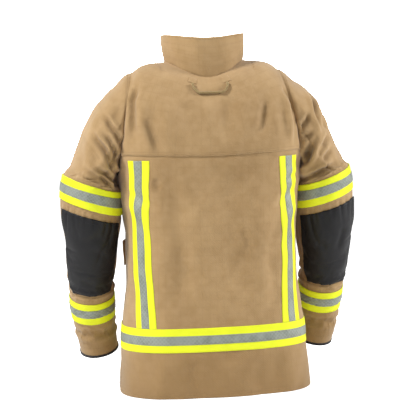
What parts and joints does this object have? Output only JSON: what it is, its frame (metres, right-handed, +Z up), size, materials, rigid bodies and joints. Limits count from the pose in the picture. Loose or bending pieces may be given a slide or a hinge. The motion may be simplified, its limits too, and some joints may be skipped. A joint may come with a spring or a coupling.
{
  "type": "turnout coat",
  "caption": "Firefighter's tan turnout coat with reflective trim, elbow pads, stand collar, storm flap over a zip, bellows pockets and a hang loop.",
  "frame": {"origin": "on the hem plane, at the centre of the bounding box of the coat as worn", "axes": "+Z up along the wearer's spine, -Y the way the wearer faces, +X the wearer's left"},
  "size_m": [0.6448, 0.3134, 0.768],
  "materials": {
    "black_knit": "matte ribbed knit",
    "black_reinforcement": "matte coated",
    "lime_tape": "matte fluorescent",
    "moisture_barrier": "smooth film",
    "quilted_liner": "matte quilted",
    "silver_stripe": "satin reflective",
    "steel": "brushed",
    "tan_shell": "matte woven",
    "tan_webbing": "matte woven"
  },
  "bodies": {
    "torso": {"back_panel": "tan_shell", "back_yoke": "tan_shell", "left_front_panel": "tan_shell", "right_front_panel": "tan_shell", "moisture_barrier": "moisture_barrier", "thermal_liner": "quilted_liner", "hem_facing": "tan_webbing", "collar": "tan_shell", "collar_lining": "black_reinforcement", "zip_tape_left": "black_reinforcement", "zip_tape_right": "black_reinforcement", "hem_band": "lime_tape", "hem_stripe": "silver_stripe", "torch_tab": "tan_webbing", "left_cargo_pocket": "tan_shell", "left_back_brace": "lime_tape", "left_back_brace_stripe": "silver_stripe", "left_front_brace": "lime_tape", "left_front_brace_stripe": "silver_stripe", "left_sleeve_cap": "tan_shell", "right_cargo_pocket": "tan_shell", "right_back_brace": "lime_tape", "right_back_brace_stripe": "silver_stripe", "right_front_brace": "lime_tape", "right_front_brace_stripe": "silver_stripe", "right_sleeve_cap": "tan_shell", "radio_pocket": "tan_shell"},
    "left_upper_arm": {"left_upper_sleeve": "tan_shell", "left_upper_sleeve_liner": "quilted_liner", "left_elbow_pad_upper": "black_reinforcement", "left_upper_band": "lime_tape", "left_upper_band_stripe": "silver_stripe"},
    "left_forearm": {"left_forearm_sleeve": "tan_shell", "left_forearm_liner": "quilted_liner", "left_elbow_pad_lower": "black_reinforcement", "left_forearm_band": "lime_tape", "left_forearm_band_stripe": "silver_stripe", "left_cuff_binding": "black_reinforcement", "left_wristlet": "black_knit"},
    "right_upper_arm": {"right_upper_sleeve": "tan_shell", "right_upper_sleeve_liner": "quilted_liner", "right_elbow_pad_upper": "black_reinforcement", "right_upper_band": "lime_tape", "right_upper_band_stripe": "silver_stripe"},
    "right_forearm": {"right_forearm_sleeve": "tan_shell", "right_forearm_liner": "quilted_liner", "right_elbow_pad_lower": "black_reinforcement", "right_forearm_band": "lime_tape", "right_forearm_band_stripe": "silver_stripe", "right_cuff_binding": "black_reinforcement", "right_wristlet": "black_knit"},
    "storm_flap": {"storm_flap": "tan_shell"},
    "zip_slider": {"zip_slider": "steel"},
    "zip_pull": {"zip_pull": "black_reinforcement"},
    "left_pocket_flap": {"left_pocket_flap": "tan_shell"},
    "right_pocket_flap": {"right_pocket_flap": "tan_shell"},
    "radio_pocket_flap": {"radio_pocket_flap": "tan_shell"},
    "throat_tab": {"throat_tab": "tan_shell"},
    "hang_loop": {"hang_loop": "tan_webbing"},
    "torch_ring": {"torch_ring": "steel"}
  },
  "joints": [
    {"name": "left_shoulder_raise", "type": "hinge", "parent": "torso", "child": "left_upper_arm", "pos_m": [0.232, 0.00671, 0.562], "axis": [0, -1, 0], "range_deg": [0, 50]},
    {"name": "left_elbow_bend", "type": "hinge", "parent": "left_upper_arm", "child": "left_forearm", "pos_m": [0.2585, -0.02329, 0.323], "axis": [-1, 0, 0], "range_deg": [0, 80]},
    {"name": "right_shoulder_raise", "type": "hinge", "parent": "torso", "child": "right_upper_arm", "pos_m": [-0.232, 0.00671, 0.562], "axis": [0, 1, 0], "range_deg": [0, 50]},
    {"name": "right_elbow_bend", "type": "hinge", "parent": "right_upper_arm", "child": "right_forearm", "pos_m": [-0.2585, -0.02329, 0.323], "axis": [-1, 0, 0], "range_deg": [0, 80]},
    {"name": "storm_flap_open", "type": "hinge", "parent": "torso", "child": "storm_flap", "pos_m": [0.038, -0.14808, 0.00028], "axis": [0, 0.0584, 0.9983], "range_deg": [0, 85]},
    {"name": "zip_slide", "type": "slide", "parent": "torso", "child": "zip_slider", "axis": [0, -0.0584, -0.9983], "range_m": [0, 0.52]},
    {"name": "zip_pull_swing", "type": "hinge", "parent": "zip_slider", "child": "zip_pull", "pos_m": [0, -0.11504, 0.5723], "axis": [0, -0.9983, 0.0584], "range_deg": [-35, 35]},
    {"name": "left_pocket_flap_open", "type": "hinge", "parent": "torso", "child": "left_pocket_flap", "pos_m": [0.11306, -0.11597, 0.33406], "axis": [-0.932, -0.3626, 0], "range_deg": [0, 95]},
    {"name": "right_pocket_flap_open", "type": "hinge", "parent": "torso", "child": "right_pocket_flap", "pos_m": [-0.12618, -0.1108, 0.33405], "axis": [-0.932, 0.3626, 0], "range_deg": [0, 95]},
    {"name": "radio_pocket_flap_open", "type": "hinge", "parent": "torso", "child": "radio_pocket_flap", "pos_m": [0.08399, -0.11507, 0.52609], "axis": [-0.9966, -0.0824, 0], "range_deg": [0, 95]},
    {"name": "throat_tab_open", "type": "hinge", "parent": "torso", "child": "throat_tab", "pos_m": [0.0493, -0.08847, 0.67035], "axis": [0, 0, 1], "range_deg": [0, 90]},
    {"name": "hang_loop_lift", "type": "hinge", "parent": "torso", "child": "hang_loop", "pos_m": [0, 0.10101, 0.65856], "axis": [1, 0, 0], "range_deg": [0, 120]},
    {"name": "torch_ring_swing", "type": "hinge", "parent": "torso", "child": "torch_ring", "pos_m": [-0.08554, -0.1177, 0.50025], "axis": [-0.9957, 0.0927, 0], "range_deg": [0, 110]}
  ]
}
